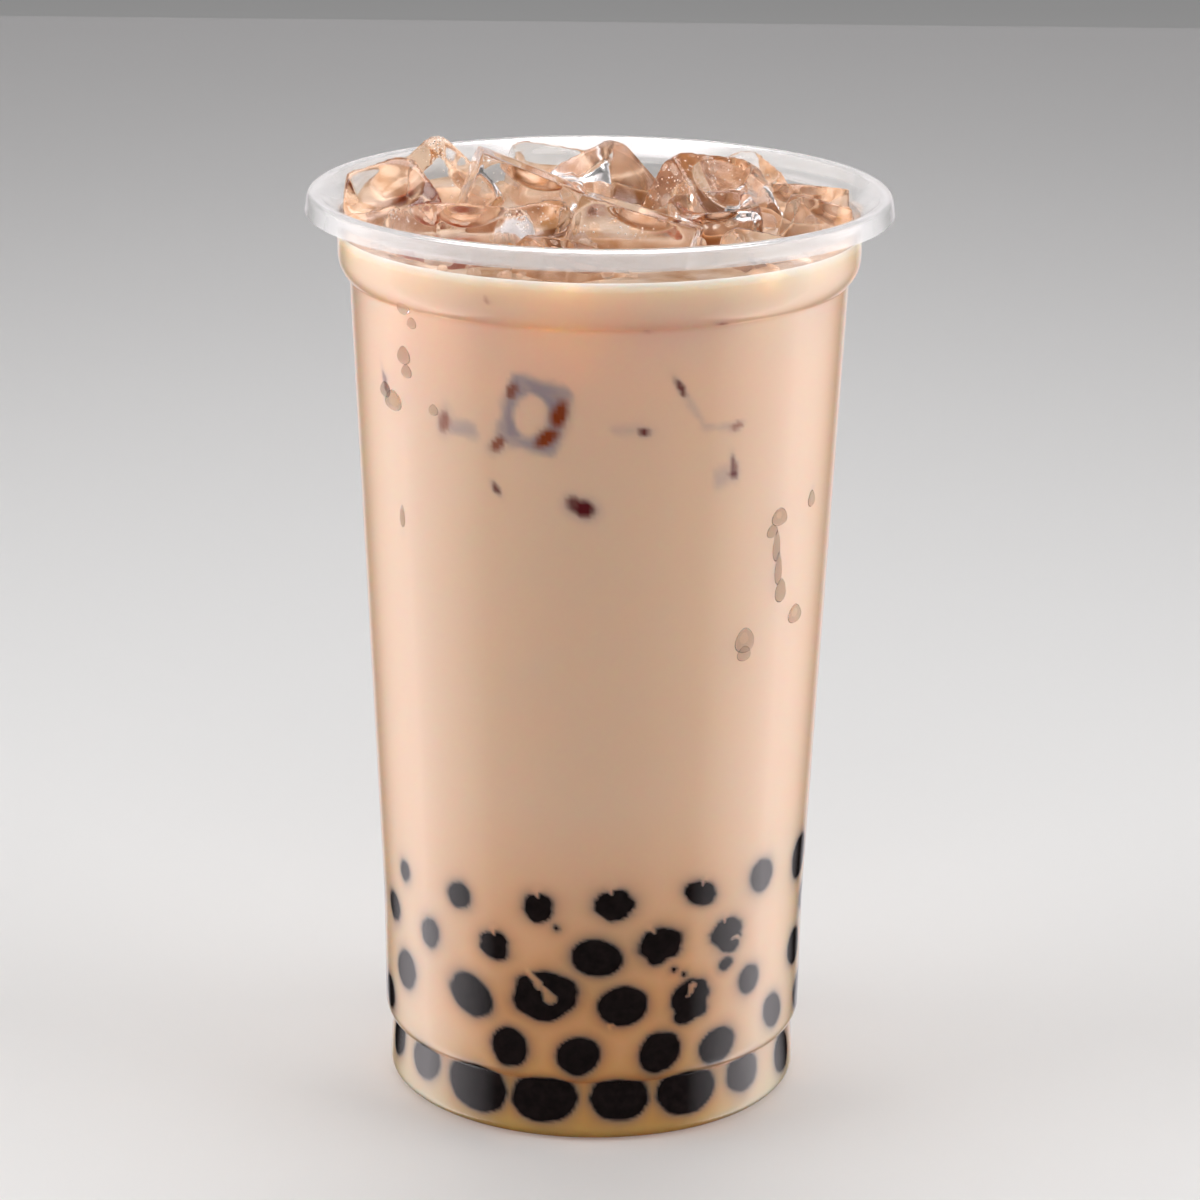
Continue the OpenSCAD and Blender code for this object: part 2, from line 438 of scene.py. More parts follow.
# dents and tears in them: bearing, height, tilt, half length, width at the open end
pearlTears = [
    (-14.5, 43.4, 90, 0.7, 0.9), (5.0, 44.6, 80, 0.8, 1.0), (-27.1, 35.6, 90, 0.6, 0.8),
    (-12.2, 26.0, -55, 1.0, 1.25), (-16.0, 28.6, -50, 1.6, 0.9), (27.4, 25.4, 60, 1.0, 0.8),
    (30.6, 44.4, 60, 0.8, 0.6), (38.0, 37.0, 80, 0.8, 0.6), (41.3, 33.0, 0, 0.8, 0.5),
    (16.0, 37.0, 120, 0.7, 0.7), (5.0, 20.4, 70, 0.4, 0.5)]


def pearlPlaces():
    piece = mergedCopy("pearls", "pearlParts")
    bm = bmesh.new()
    bm.from_mesh(piece.data)
    places, seen = [], set()
    for first in bm.verts:
        if first.index in seen:
            continue
        island, stack = [], [first]
        seen.add(first.index)
        while stack:
            v = stack.pop()
            island.append(v.co[:])
            for e in v.link_edges:
                w = e.other_vert(v)
                if w.index not in seen:
                    seen.add(w.index)
                    stack.append(w)
        pts = np.array(island)
        system = np.hstack([2 * pts, np.ones((len(pts), 1))])
        fit = np.linalg.lstsq(system, (pts ** 2).sum(1), rcond=None)[0]
        places.append((fit[:3], math.sqrt(fit[3] + (fit[:3] ** 2).sum())))
    bm.free()
    bpy.data.objects.remove(piece)
    return places


# radius of the cup's inside at each height, from the lip down to the foot ring
lowest = min(range(len(innerPath)), key=lambda i: innerPath[i][1])
sideWall = innerPath[:lowest + 1][::-1]
sideHeights = np.array([p[1] for p in sideWall])
sideRadii = np.array([p[0] for p in sideWall])


def insideRadius(height):
    return np.interp(height, sideHeights, sideRadii)


def wrapAngle(turn):
    return (turn + 180.0) % 360.0 - 180.0


def insideSpot(bearing, height):
    turn, far = math.radians(bearing), float(insideRadius(height * mm))
    return far * math.sin(turn), -far * math.cos(turn), height * mm


def tearDepth(x, y, z):
    # extra cover of tea where a pearl is dented or torn
    bearing = np.degrees(np.arctan2(x, -y))
    depth = np.zeros_like(z)
    for at, height, tilt, length, width in pearlTears:
        across = np.radians(wrapAngle(bearing - at)) * pearlLook["tearWall"]
        up = z / mm - height
        c, s = math.cos(math.radians(tilt)), math.sin(math.radians(tilt))
        along, side = across * c + up * s, -across * s + up * c
        side = side + 0.12 * np.sin(along * 2.3 + at)
        taper = width * np.clip(0.8 + 0.3 * along / length, 0.4, 1.1)
        gap = np.sqrt(np.maximum(np.abs(along) - length, 0) ** 2 + side ** 2)
        depth = np.maximum(depth, np.clip(1.0 - gap / taper, 0, 1) * pearlLook["tearDeep"])
    return depth * mm


class Pearl:
    def __init__(self, centre, axes, tilt, rag, rng):
        self.centre = np.array(centre)
        self.axes = np.array(axes)  # half sizes: towards the wall, across, up
        out = self.centre * (1, 1, 0) / math.hypot(*self.centre[:2])
        side, up = np.array([-out[1], out[0], 0.0]), np.array([0.0, 0.0, 1.0])
        c, s = math.cos(math.radians(tilt)), math.sin(math.radians(tilt))
        self.ways = np.array([out, c * side + s * up, -s * side + c * up])
        kinds = ((1.3, pearlLook["lumps"], 4), (4.5, 0.028 * rag, 6), (11, 0.012 * rag, 5))
        self.waves = [(rng.normal(size=3) * pace, rng.uniform(0, 6.28), size)
                      for pace, size, count in kinds for _ in range(count)]

    def reach(self, turns):
        return 1 + 0.6 * sum(size * np.sin(turns @ vec + phase) for vec, phase, size in self.waves)

    def surface(self, turns):
        return self.centre + (turns * self.reach(turns)[:, None] * self.axes) @ self.ways

    def cover(self, pts):
        # how deep below the surface of the tea the pearl lies, roughly along its own normal
        local = ((pts - self.centre) @ self.ways.T) / self.axes
        far = np.maximum(np.linalg.norm(local, axis=1), 1e-6)
        return (far - self.reach(local / far[:, None])) * self.axes.mean()


def gatherPearls():
    rng = np.random.default_rng(pearlLook["seed"])
    packed = sorted(pearlPlaces(), key=lambda p: tuple(np.round(p[0], 4)))
    found = []
    for centre, radius in packed:
        bearing = math.degrees(math.atan2(centre[0], -centre[1]))
        if abs(bearing) > pearlLook["backFrom"]:
            size = radius * (pearlLook["grow"] + rng.uniform(-1, 1) * pearlLook["growSpread"])
            found.append(Pearl(centre, (size, size, size * rng.uniform(0.9, 1)), 0, 0.5, rng))
    for bearing, height, wide, tall, tilt, film, rag in frontPearls:
        thick = min(pearlLook["thick"], 1.5 * max(wide, tall)) * mm
        inset = thick * math.sqrt(1 - pearlLook["press"] ** 2)
        far = insideRadius(height * mm) - inset - film * mm
        t = math.radians(bearing)
        size = [wide * mm / pearlLook["press"], tall * mm / pearlLook["press"]]
        centre = (far * math.sin(t), -far * math.cos(t), height * mm)
        found.append(Pearl(centre, (thick, *size), tilt, rag, rng))
    return found


pearlList = gatherPearls()
print("pearls placed", len(pearlList))


def pearlMesh():
    verts, faces = [], []
    coarse = np.concatenate([np.arange(0, 20, 10), np.arange(20, 60, 3), np.arange(60, 180, 15),
                             [180]])
    dense = np.concatenate([np.arange(0, 64, 2), np.arange(64, 180, 12), [180]])
    torn = [np.array(insideSpot(at, height)) for at, height, *rest in pearlTears]
    for pearl in pearlList:
        nearest = min(np.linalg.norm(pearl.centre - spot) for spot in torn)
        near = nearest < pearlLook["tearNear"] * mm
        steps, around = (dense, pearlLook["aroundTorn"]) if near else (coarse, pearlLook["around"])
        rings = []
        for step in steps:
            t = math.radians(step)
            count = 1 if step in (0, 180) else around
            turn = np.arange(count) * 2 * np.pi / count
            turns = np.stack([np.full(count, math.cos(t)), math.sin(t) * np.cos(turn),
                              math.sin(t) * np.sin(turn)], 1)
            pts = pearl.surface(turns)
            limit = insideRadius(pts[:, 2]) + pearlLook["proud"] * mm
            limit = limit - tearDepth(pts[:, 0], pts[:, 1], pts[:, 2])
            pts[:, :2] *= np.minimum(1, limit / np.hypot(pts[:, 0], pts[:, 1]))[:, None]
            pts[:, 2] = np.maximum(pts[:, 2], pearlLook["footing"] * mm)
            rings.append(list(range(len(verts), len(verts) + count)))
            verts.extend(pts)
        faces.extend(ringFaces(rings))
    return verts, faces


def pearlMaterial():
    mat, tree, out = newMaterial("tapioca")
    shader = setInputs(addNode(tree, "ShaderNodeBsdfPrincipled"), Roughness=0.45, IOR=1.15)
    patch = addMottle(tree, 700, 2.5)
    tree.links.new(mixColours(tree, patch, (*pearlLook["dark"], 1), (0.016, 0.010, 0.010, 1)),
                   shader.inputs["Base Color"])
    addBump(tree, shader, addMottle(tree, 1500, 1.5), 0.1, 0.0002)
    tree.links.new(shader.outputs[0], out.inputs["Surface"])
    return mat


verts, faces = pearlMesh()
pearls = meshPiece("tapiocaPearls", verts, faces, pearlMaterial())
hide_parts("pearls")
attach(pearls, "root")
print("pearls made", len(pearls.data.polygons))


# milk tea against the wall, with pearls and ice showing faintly through it

# warm, warmTop, warmFade, footTop, footFade and the front bearing spread set the painted shade in the
# tea
teaLook = dict(columns=372, reach=0.10, level=144.7, haloDepth=0.8, swell=0.35,
               tone=(0.81, 0.62, 0.465), warm=(0.93, 0.42, 0.14), halo=(0.19, 0.17, 0.18),
               veil=(0.40, 0.34, 0.36), maroon=(0.13, 0.006, 0.010), syrup=(0.30, 0.06, 0.012),
               foam=(0.78, 0.56, 0.40), amber=(0.42, 0.20, 0.08), brim=(0.70, 0.585, 0.475),
               syrupSpots=[((14, 2, 143), 5), ((-24, -12, 143), 5), ((-3, 15, 143), 4),
                           ((-30, 14, 144), 3)], creep=0.6, warmTop=58, warmFade=34,
               footTop=16, footFade=12, frontShadeBearing=42, brimFrom=128, brimFade=14)


def ringStep(radius, height):
    # millimetres to the next ring, finer where pearls, marks and ice show through the wall
    h = height / mm
    if radius < 28 * mm:
        return 4.0
    if h < 48:
        return 0.48
    if h > 106:
        return 0.6 if h < 131 else 1.0
    return 3.0


def spacedPath():
    # the inside of the wall, down from the tea's level and over the floor
    level = teaLook["level"] * mm
    points = [(float(insideRadius(level)), level)] + [p for p in innerPath if p[1] < level]
    out = [points[0]]
    for a, b in zip(points, points[1:]):
        length = math.hypot(b[0] - a[0], b[1] - a[1])
        done = 0.0
        while done < length - 1e-9:
            step = ringStep(a[0] + (b[0] - a[0]) * done / length,
                            a[1] + (b[1] - a[1]) * done / length)
            done = min(length, done + step * mm)
            if length - done < 0.2 * step * mm:
                done = length
            out.append((a[0] + (b[0] - a[0]) * done / length,
                        a[1] + (b[1] - a[1]) * done / length))
    return out


def pushedOut(path, distance):
    pts = np.array(path)
    ahead = np.vstack([pts[1:], pts[-1:]])
    behind = np.vstack([pts[:1], pts[:-1]])
    way = ahead - behind
    way /= np.maximum(np.linalg.norm(way, axis=1), 1e-12)[:, None]
    # the path runs down, so this side faces the wall
    outward = np.stack([-way[:, 1], way[:, 0]], 1)
    pts = pts + outward * distance
    pts[:, 0] = np.maximum(pts[:, 0], 0)
    pts[-1, 0] = 0
    return [tuple(p) for p in pts]


def pearlCover(verts):
    # thickness of the tea over the nearest pearl, in millimetres
    cover = np.full(len(verts), 9.0)
    low = np.where(verts[:, 2] < 56 * mm)[0]
    pts = verts[low]
    best = cover[low]
    for pearl in pearlList:
        near = np.linalg.norm(pts - pearl.centre, axis=1) < 12 * mm
        best[near] = np.minimum(best[near], pearl.cover(pts[near]) / mm)
    cover[low] = np.maximum(best, 0) + tearDepth(pts[:, 0], pts[:, 1], pts[:, 2]) / mm
    return cover


# faint shapes of sunk ice near the wall: bearing, height, tilt, half width, half height,
# corner radius, strength
iceShadows = [
    (-14.6, 123.6, -14, 5.0, 5.8, 1.2, 0.9), (-32.6, 120.0, 4, 2.9, 1.3, 0.8, 0.6),
    (-58.5, 123.5, 80, 2.4, 0.5, 0.4, 0.45), (8.0, 121.4, -4, 3.2, 0.45, 0.4, 0.42),
    (21.5, 125.2, -58, 3.8, 0.35, 0.4, 0.5), (29.5, 121.0, -8, 3.4, 0.4, 0.4, 0.5),
    (31.2, 112.9, 15, 2.4, 1.5, 0.8, 0.42), (-53.0, 101.9, 84, 2.0, 0.3, 0.3, 0.35),
    (48.5, 96.0, 86, 4.6, 0.35, 0.3, 0.35), (62.3, 105.5, 60, 1.6, 0.4, 0.3, 0.35)]
# pale round window in the middle of the largest one: bearing, height, half width, half height
iceWindow = (-15.3, 123.4, 2.75, 3.6)
# small dark marks: bearing, height, tilt, half length, half width, strength, brownness
darkMarks = [
    (-5.4, 109.4, 18, 0.95, 1.25, 1.0, 0.2), (-3.4, 108.7, -10, 1.75, 1.25, 1.0, 0.0),
    (-24.0, 111.1, -50, 0.9, 0.5, 0.9, 0.1), (-37.4, 120.6, 80, 1.7, 1.0, 0.8, 0.9),
    (-19.6, 127.2, 60, 1.3, 0.8, 0.85, 0.85), (-8.7, 123.8, 78, 2.2, 1.2, 1.0, 1.0),
    (-11.6, 119.9, 40, 2.1, 1.05, 1.0, 1.0), (-23.2, 118.3, 55, 1.4, 0.85, 0.9, 0.85),
    (10.5, 121.1, 0, 0.75, 0.6, 1.0, 0.1), (18.8, 128.0, -62, 1.6, 0.45, 0.9, 0.1),
    (33.6, 120.8, 15, 1.0, 0.5, 0.75, 0.8), (33.2, 114.3, -80, 1.6, 0.45, 0.8, 0.1),
    (33.3, 113.0, 0, 0.8, 0.7, 1.0, 0.1), (-58.2, 124.3, -70, 1.8, 0.5, 0.7, 0.1),
    (-12.3, 127.9, 0, 0.2, 0.2, 0.9, 0.3), (-56.3, 145.7, 0, 0.5, 0.3, 0.4, 0.6),
    (10.8, 137.4, 0, 0.7, 0.22, 0.8, 0.7), (27.8, 138.0, -10, 0.9, 0.22, 0.7, 0.8),
    (-4.5, 142.4, 0, 0.4, 0.2, 0.4, 0.8), (-24.0, 141.6, 0, 0.5, 0.25, 0.4, 0.8)]


def localSpots(bearing, height, wall, at, z, tilt):
    across = np.radians(wrapAngle(bearing - at)) * wall
    up = height - z
    c, s = math.cos(math.radians(tilt)), math.sin(math.radians(tilt))
    return across * c + up * s, -across * s + up * c


def marksAt(verts):
    bearing = np.degrees(np.arctan2(verts[:, 0], -verts[:, 1]))
    height = verts[:, 2] / mm
    wall = np.hypot(verts[:, 0], verts[:, 1]) / mm
    pale, red, brown, wobble = (np.zeros(len(verts)) for _ in range(4))
    for i in np.where((height > 90) & (height < 143) & (np.abs(bearing) < 75))[0]:
        wobble[i] = noise.noise(Vector(verts[i]) * 450) + 0.5 * noise.noise(Vector(verts[i]) * 1100)
    for at, z, tilt, wide, tall, corner, strength in iceShadows:
        x, y = localSpots(bearing, height, wall, at, z, tilt)
        outside = np.hypot(np.maximum(np.abs(x) - wide + corner, 0),
                           np.maximum(np.abs(y) - tall + corner, 0)) - corner
        cloud = np.clip(0.5 - (outside + wobble * 0.8) / 1.4, 0, 1) * strength * (1 + 0.5 * wobble)
        pale = np.maximum(pale, cloud)
    at, z, wide, tall = iceWindow
    x, y = localSpots(bearing, height, wall, at, z, -14)
    pale *= np.clip((np.hypot(x / wide, y / tall) - 0.82 + wobble * 0.08) / 0.3, 0, 1)
    for at, z, tilt, long, wide, strength, brownness in darkMarks:
        x, y = localSpots(bearing, height, wall, at, z, tilt)
        span = np.hypot(x / long, y / wide) + wobble * 0.3
        mask = np.clip((1.3 - span) / 0.6, 0, 1) * strength
        red = np.maximum(red, mask * (1 - brownness))
        brown = np.maximum(brown, mask * brownness)
        pale = np.maximum(pale, np.clip((2.3 - span) / 1.6, 0, 1) * 0.5 * strength)
    return np.clip(pale, 0, 1), red, brown


def addValues(piece, name, values):
    layer = piece.data.attributes.new(name, "FLOAT", "POINT")
    layer.data.foreach_set("value", np.asarray(values, dtype=np.float32))


# ice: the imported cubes, melted softer

iceLook = dict(voxel=0.5, soften=2, dents=0.04, rippleScale=230, iceSink=0.15, wallFilm=4.0,
               tone=(0.985, 0.97, 0.955), frost=0.16, wallGap=0.25, top=146, seatTop=144,
               seatDetail=0.14)


def iceMaterial():
    mat, tree, out = newMaterial("clearIce")
    shader = setInputs(addNode(tree, "ShaderNodeBsdfPrincipled"), IOR=1.24, Transmission_Weight=1.0,
                       Base_Color=(*iceLook["tone"], 1))
    frost = mathNode(tree, "MULTIPLY", addMottle(tree, 130, 5.0), iceLook["frost"])
    tree.links.new(mathNode(tree, "ADD", frost, 0.02), shader.inputs["Roughness"])
    addBump(tree, shader, addMottle(tree, 300, 1.6), 0.04, 0.0005)
    letLightThrough(tree, out, shader, 0.9)
    return mat


def keepInside(pts, top, gap):
    # draws points in until they clear the wall by gap; above top the wall counts as upright
    limit = insideRadius(np.minimum(pts[:, 2], top * mm)) - gap * mm
    pts[:, :2] *= np.minimum(1, limit / np.hypot(pts[:, 0], pts[:, 1]))[:, None]


iceMat = iceMaterial()
iceNames = sorted((n for n in frame["nodes"] if n.startswith("ice_")),
                  key=lambda n: int(n.split("_")[1]))
iceCubes = []
for number, nodeName in enumerate(iceNames):
    cube = mergedCopy(nodeName, "iceCube." + nodeName.split("_")[1])
    cube.data.materials.append(iceMat)
    remesh = cube.modifiers.new("remesh", "REMESH")
    remesh.mode = "VOXEL"
    remesh.voxel_size = iceLook["voxel"] * mm
    remesh.use_smooth_shade = True
    soft = cube.modifiers.new("soften", "SMOOTH")
    soft.factor = 0.5
    soft.iterations = iceLook["soften"]
    applyModifiers(cube)
    mesh = cube.data
    pts = np.zeros(len(mesh.vertices) * 3)
    mesh.vertices.foreach_get("co", pts)
    pts = pts.reshape(-1, 3)
    ways = np.zeros(len(mesh.vertices) * 3)
    mesh.vertices.foreach_get("normal", ways)
    ways = ways.reshape(-1, 3)
    lift = np.array([noise.noise(Vector(p) * iceLook["rippleScale"] + Vector((number, 0, 0)))
                     for p in pts])
    pts = pts + ways * (lift * iceLook["dents"] * mm)[:, None]
    keepInside(pts, iceLook["top"], iceLook["wallGap"])
    mesh.vertices.foreach_set("co", pts.ravel())
    mesh.polygons.foreach_set("use_smooth", [True] * len(mesh.polygons))
    mesh.update()
    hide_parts(nodeName)
    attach(cube, "root")
    iceCubes.append(cube)
print("ice made", len(iceCubes), sum(len(c.data.polygons) for c in iceCubes))


# the milk tea: one body against the wall, hollowed where the ice sits in it

def teaShader(tree):
    shader = setInputs(addNode(tree, "ShaderNodeBsdfPrincipled"), Roughness=0.4, IOR=1.25,
                       Subsurface_Weight=1.0, Subsurface_Scale=0.02)
    shader.inputs["Subsurface Radius"].default_value = (0.85, 0.42, 0.26)
    return shader


def teaMaterial():
    mat, tree, out = newMaterial("milkTea")
    shader = teaShader(tree)
    layers = {name: addNode(tree, "ShaderNodeAttribute", attribute_name=name).outputs["Fac"]
              for name in ("warmShade", "brim", "shade", "core", "pale", "red", "brown")}
    tone = mixColours(tree, addMottle(tree, 22, 1.2), (*teaLook["tone"], 1),
                      (*[c * 0.97 for c in teaLook["tone"]], 1))
    # painted shade: a warmer, darker tea colour laid low down, near the pearls and in front
    warm = mixColours(tree, addMottle(tree, 160, 2.0), (*teaLook["warm"], 1),
                      (*[c * 0.86 for c in teaLook["warm"]], 1))
    for layer, colour in (("warmShade", warm), ("brim", (*teaLook["brim"], 1)),
                          ("pale", (*teaLook["veil"], 1)), ("brown", (*teaLook["syrup"], 1)),
                          ("red", (*teaLook["maroon"], 1)), ("shade", (*teaLook["halo"], 1)),
                          ("core", (*pearlLook["dark"], 1))):
        tone = mixColours(tree, layers[layer], tone, colour)
    tree.links.new(tone, shader.inputs["Base Color"])
    tree.links.new(shader.outputs[0], out.inputs["Surface"])
    return mat


def surfaceMaterial():
    mat, tree, out = newMaterial("teaSurface")
    shader = setInputs(addNode(tree, "ShaderNodeBsdfPrincipled"), Roughness=0.16, IOR=1.34)
    swirl = addMottle(tree, 110, 4.0)
    tone = mixColours(tree, swirl, (*teaLook["foam"], 1), (*teaLook["amber"], 1))
    for spot, radius in teaLook["syrupSpots"]:
        where = addNode(tree, "ShaderNodeTexCoord")
        span = addNode(tree, "ShaderNodeVectorMath", operation="DISTANCE")
        span.inputs[1].default_value = [v * mm for v in spot]
        tree.links.new(where.outputs["Object"], span.inputs[0])
        share = mathNode(tree, "DIVIDE", span.outputs["Value"], radius * mm)
        mask = mathNode(tree, "SUBTRACT", 1.5, share, clamp=True)
        tone = mixColours(tree, mask, tone, (*teaLook["syrup"], 1))
    tree.links.new(tone, shader.inputs["Base Color"])
    addBump(tree, shader, addMottle(tree, 350, 1.5), 0.15, 0.0008)
    tree.links.new(shader.outputs[0], out.inputs["Surface"])
    return mat


def iceSeats():
    seats = bpy.data.collections.new("iceSeats")
    bpy.context.scene.collection.children.link(seats)
    for cube in iceCubes:
        seat = bpy.data.objects.new("seat", cube.data.copy())
        seats.objects.link(seat)
        thin = seat.modifiers.new("thin", "DECIMATE")
        thin.ratio = iceLook["seatDetail"]
        applyModifiers(seat)
        mesh = seat.data
        pts, ways = np.zeros(len(mesh.vertices) * 3), np.zeros(len(mesh.vertices) * 3)
        mesh.vertices.foreach_get("co", pts)
        mesh.vertices.foreach_get("normal", ways)
        pts = (pts - ways * iceLook["iceSink"] * mm).reshape(-1, 3)
        keepInside(pts, iceLook["seatTop"], iceLook["wallFilm"])
        mesh.vertices.foreach_set("co", pts.ravel())
        mesh.update()
    return seats


def milkTea():
    level = teaLook["level"] * mm
    side = pushedOut(spacedPath(), teaLook["reach"] * mm)
    edge = side[0][0]
    lid = [(edge * k, level) for k in (0, 0.1, 0.2, 0.3, 0.4, 0.5, 0.6, 0.7, 0.8, 0.88, 0.94)]
    lid += [(edge - 1.2 * mm, level + 0.03 * mm), (edge - 0.5 * mm, level + 0.2 * mm)]
    side[0] = (edge, level + teaLook["creep"] * mm)  # the tea climbs a little up the wall
    verts, faces = lathe(lid + side, teaLook["columns"])
    top = (verts[:, 2] > level - 1e-6) & (np.hypot(verts[:, 0], verts[:, 1]) < edge - 1 * mm)
    for i in np.where(top)[0]:
        verts[i, 2] += noise.noise(Vector(verts[i]) * 160) * teaLook["swell"] * mm
    body = meshPiece("milkTea", verts, faces, teaMaterial())
    body.data.materials.append(surfaceMaterial())
    facesOutward(body.data)
    cover = pearlCover(verts)
    near = np.exp(-cover / teaLook["haloDepth"])
    heights = verts[:, 2] / mm
    pale, red, brown = marksAt(verts)
    addValues(body, "shade", near ** 1.2 * 0.92)
    addValues(body, "core", np.clip((near - 0.66) / 0.3, 0, 1))
    bearing = np.degrees(np.arctan2(verts[:, 0], -verts[:, 1]))
    frontShade = 0.12 + 0.88 * np.exp(-(bearing / teaLook["frontShadeBearing"]) ** 4)  # painted shade: darker and warmer in front
    # painted shade: the tea warmer and darker low down, near the pearls, in front and at the foot
    warmShade = np.clip((teaLook["warmTop"] - heights) / teaLook["warmFade"], 0, 1)
    warmShade = warmShade * (0.5 + 0.5 * np.exp(-cover / 3)) * frontShade
    low = np.clip((teaLook["footTop"] - heights) / teaLook["footFade"], 0, 1)
    warmShade = warmShade + (0.08 + 0.4 * frontShade) * low
    addValues(body, "warmShade", np.clip(warmShade, 0, 1))
    brim = np.clip((heights - teaLook["brimFrom"]) / teaLook["brimFade"], 0, 1)
    addValues(body, "brim", brim * 0.9)  # duller under the ice
    addValues(body, "pale", pale)
    addValues(body, "red", red)
    addValues(body, "brown", brown)
    seats = iceSeats()
    cut = body.modifiers.new("seats", "BOOLEAN")
    cut.operation = "DIFFERENCE"
    cut.operand_type = "COLLECTION"
    cut.collection = seats
    cut.solver = "MANIFOLD"
    applyModifiers(body)
    for seat in list(seats.objects):
        bpy.data.objects.remove(seat, do_unlink=True)
    bpy.data.collections.remove(seats)
    mesh = body.data
    while len(mesh.materials) > 2:
        mesh.materials.pop()
    for face in mesh.polygons:
        spot = face.center
        inner = math.hypot(spot.x, spot.y) < float(insideRadius(spot.z)) - 0.15 * mm
        face.material_index = 1 if inner and spot.z > 110 * mm else 0
        face.use_smooth = True
    mesh.update()
    return body


tea = milkTea()
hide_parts("milk_tea")
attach(tea, "root")
print("milk tea made", sum(len(f.vertices) - 2 for f in tea.data.polygons), "triangles")


# drops on the outside, bubbles on the tea and in the ice

# drops: bearing, height, half width, half height
dropLook = dict(stand=0.26, drops=[(-48.5, 138.0, 1.5, 1.3), (-46.4, 135.5, 1.1, 0.9),
                                   (-49.7, 129.9, 1.6, 1.5), (-48.9, 127.4, 1.3, 1.1),
                                   (-57.9, 123.2, 1.6, 1.3), (-54.6, 121.9, 2.3, 1.7),
                                   (-40.4, 122.2, 1.0, 0.9), (48.5, 104.2, 1.9, 1.5),
                                   (46.2, 102.1, 1.3, 1.1), (48.0, 99.4, 0.9, 2.6),
                                   (49.2, 95.5, 0.9, 2.8), (50.6, 91.6, 1.4, 2.0),
                                   (57.6, 86.6, 2.0, 1.6), (38.9, 84.8, 2.0, 2.1),
                                   (38.9, 82.6, 1.4, 1.3), (62.3, 105.2, 1.2, 1.4),
                                   (-53.0, 103.0, 0.7, 1.8)],
                around=18, froth=170, frothReach=40.5, frothRadius=(0.35, 1.3), iceBeads=420,
                beadRadius=(0.10, 0.32), seed=5)


def waterDrops():
    verts, faces = [], []
    for bearing, height, wide, tall in dropLook["drops"]:
        t = math.radians(bearing)
        wall = float(insideRadius(height * mm)) / mm + 0.6
        out = np.array([math.sin(t), -math.cos(t), 0])
        side = np.array([math.cos(t), math.sin(t), 0])
        up = np.array([0, 0, 1])
        rings = []
        for step in range(7):
            lean = step / 6 * math.pi
            r, lift = math.sin(lean), math.cos(lean)
            count = 1 if step in (0, 6) else dropLook["around"]
            turn = np.arange(count) * 2 * np.pi / dropLook["around"]
            pear = 1 - 0.25 * np.sin(turn)  # a drop is wider low down
            pts = (out * (wall - 0.05 + lift * dropLook["stand"] * wide)
                   + (r * wide * pear * np.cos(turn))[:, None] * side
                   + (r * tall * np.sin(turn))[:, None] * up + up * height)
            rings.append(list(range(len(verts), len(verts) + len(turn))))
            verts.extend(pts * mm)
        faces.extend(ringFaces(rings))
    mat, tree, out = newMaterial("waterDrop")
    shader = setInputs(addNode(tree, "ShaderNodeBsdfPrincipled"), Roughness=0.02, IOR=1.12,
                       Transmission_Weight=1.0)
    addBump(tree, shader, addMottle(tree, 500, 1.2), 0.05, 0.0003)
    letLightThrough(tree, out, shader, 0.95)
    drops = meshPiece("waterDrops", verts, faces, mat)
    facesOutward(drops.data)
    return drops


def beadTree():
    # one small ball on every point, its radius taken from the point
    tree = bpy.data.node_groups.new("beads", "GeometryNodeTree")
    face = tree.interface
    face.new_socket("Geometry", in_out="INPUT", socket_type="NodeSocketGeometry")
    face.new_socket("Detail", in_out="INPUT", socket_type="NodeSocketInt").default_value = 2
    face.new_socket("Size", in_out="INPUT", socket_type="NodeSocketFloat").default_value = 1.0
    face.new_socket("Material", in_out="INPUT", socket_type="NodeSocketMaterial")
    face.new_socket("Geometry", in_out="OUTPUT", socket_type="NodeSocketGeometry")
    start, end = tree.nodes.new("NodeGroupInput"), tree.nodes.new("NodeGroupOutput")
    ball = tree.nodes.new("GeometryNodeMeshIcoSphere")
    ball.inputs["Radius"].default_value = 1.0
    radius = tree.nodes.new("GeometryNodeInputNamedAttribute")
    radius.data_type = "FLOAT"
    radius.inputs["Name"].default_value = "radius"
    scale = tree.nodes.new("ShaderNodeMath")
    scale.operation = "MULTIPLY"
    place = tree.nodes.new("GeometryNodeInstanceOnPoints")
    real = tree.nodes.new("GeometryNodeRealizeInstances")
    finish = tree.nodes.new("GeometryNodeSetMaterial")
    smooth = tree.nodes.new("GeometryNodeSetShadeSmooth")
    link = tree.links.new
    link(start.outputs["Geometry"], place.inputs["Points"])
    link(start.outputs["Detail"], ball.inputs["Subdivisions"])
    link(ball.outputs["Mesh"], place.inputs["Instance"])
    link(radius.outputs["Attribute"], scale.inputs[0])
    link(start.outputs["Size"], scale.inputs[1])
    link(scale.outputs[0], place.inputs["Scale"])
    link(place.outputs["Instances"], real.inputs["Geometry"])
    link(real.outputs["Geometry"], smooth.inputs["Geometry"])
    link(smooth.outputs["Geometry"], finish.inputs["Geometry"])
    link(start.outputs["Material"], finish.inputs["Material"])
    link(finish.outputs["Geometry"], end.inputs["Geometry"])
    return tree


beads = beadTree()


def beadPiece(name, points, radii, detail, mat):
    mesh = bpy.data.meshes.new(name)
    mesh.from_pydata([tuple(p) for p in points], [], [])
    layer = mesh.attributes.new("radius", "FLOAT", "POINT")
    layer.data.foreach_set("value", np.asarray(radii, dtype=np.float32))
    piece = bpy.data.objects.new(name, mesh)
    bpy.context.scene.collection.objects.link(piece)
    step = piece.modifiers.new("beads", "NODES")
    step.node_group = beads
    sockets = {item.name: item.identifier for item in beads.interface.items_tree
               if item.in_out == "INPUT"}
    step[sockets["Detail"]] = detail
    step[sockets["Size"]] = 1.0
    step[sockets["Material"]] = mat
    applyModifiers(piece)
    for layer in list(piece.data.attributes):
        if layer.name == "radius":
            piece.data.attributes.remove(layer)
    return piece


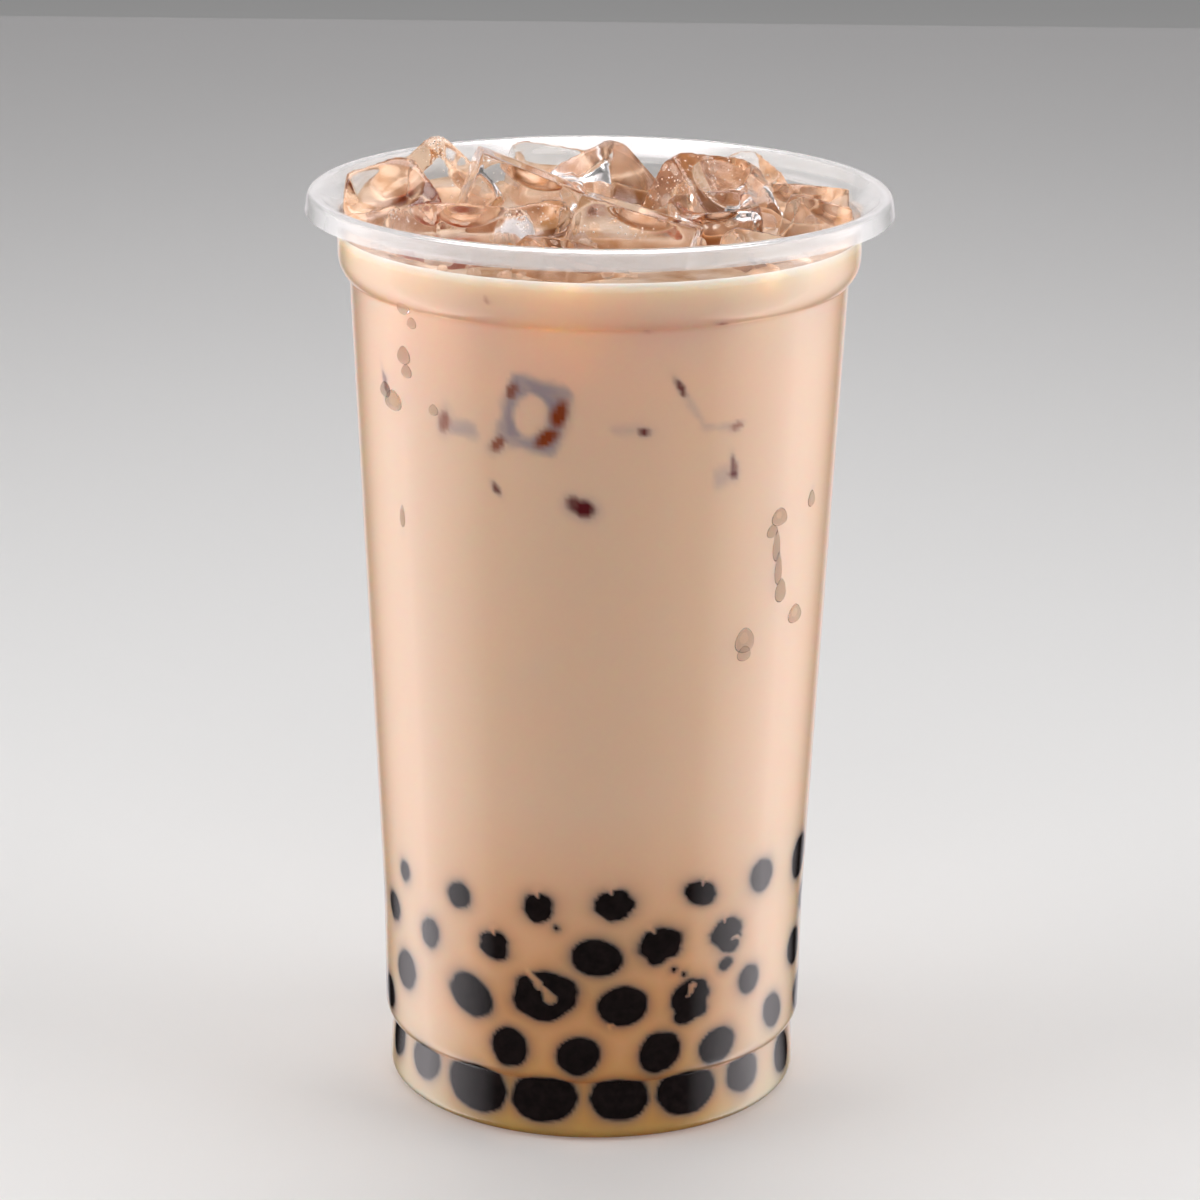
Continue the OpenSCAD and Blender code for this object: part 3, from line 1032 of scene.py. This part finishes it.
def bubbleMaterials():
    film, tree, out = newMaterial("frothFilm")
    shader = setInputs(addNode(tree, "ShaderNodeBsdfPrincipled"), Roughness=0.03, IOR=1.2,
                       Transmission_Weight=0.85, Base_Color=(0.93, 0.82, 0.72, 1))
    addBump(tree, shader, addMottle(tree, 900, 1.5), 0.05, 0.0003)
    letLightThrough(tree, out, shader, 0.85)
    air, tree, out = newMaterial("airBead")
    shader = setInputs(addNode(tree, "ShaderNodeBsdfPrincipled"), Roughness=0.15)
    tone = mixColours(tree, addMottle(tree, 800, 2), (0.92, 0.88, 0.85, 1), (0.80, 0.74, 0.70, 1))
    tree.links.new(tone, shader.inputs["Base Color"])
    tree.links.new(shader.outputs[0], out.inputs["Surface"])
    return film, air


filmMat, airMat = bubbleMaterials()
chance = random.Random(dropLook["seed"])
level = teaLook["level"] * mm
frothAt, frothSize = [], []
while len(frothAt) < dropLook["froth"]:
    turn = chance.uniform(0, 2 * math.pi)
    far = math.sqrt(chance.random()) * dropLook["frothReach"] * mm
    spot = Vector((far * math.cos(turn), far * math.sin(turn), level))
    if noise.noise(spot * 90) < 0.05:
        continue  # froth gathers in patches
    radius = chance.uniform(*dropLook["frothRadius"]) ** 2 * 0.8 * mm
    frothAt.append(spot + Vector((0, 0, radius * 0.25)))
    frothSize.append(radius)
froth = beadPiece("frothBubbles", frothAt, frothSize, 3, filmMat)
beadAt, beadSize = [], []
cloudy = [cube for cube in iceCubes if cube.name.split(".")[1] in ("3", "4", "9", "10", "15", "2")]
for cube in cloudy:
    faces = [f for f in cube.data.polygons if f.center.z > level + 1 * mm]
    seedsAt = [chance.choice(faces) for _ in range(3)]
    for _ in range(dropLook["iceBeads"] // len(cloudy)):
        hub = chance.choice(seedsAt)
        face = min((chance.choice(faces) for _ in range(12)),
                   key=lambda f: (f.center - hub.center).length)
        radius = chance.uniform(*dropLook["beadRadius"]) ** 1.5 * mm
        beadAt.append(face.center - face.normal * (radius + chance.uniform(0.1, 1.6) * mm))
        beadSize.append(radius)
air = beadPiece("airBeads", beadAt, beadSize, 1, airMat)
for piece in (waterDrops(), froth, air):
    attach(piece, "root")
print("drops and bubbles made", len(frothAt), len(beadAt))


bpy.context.view_layer.update()
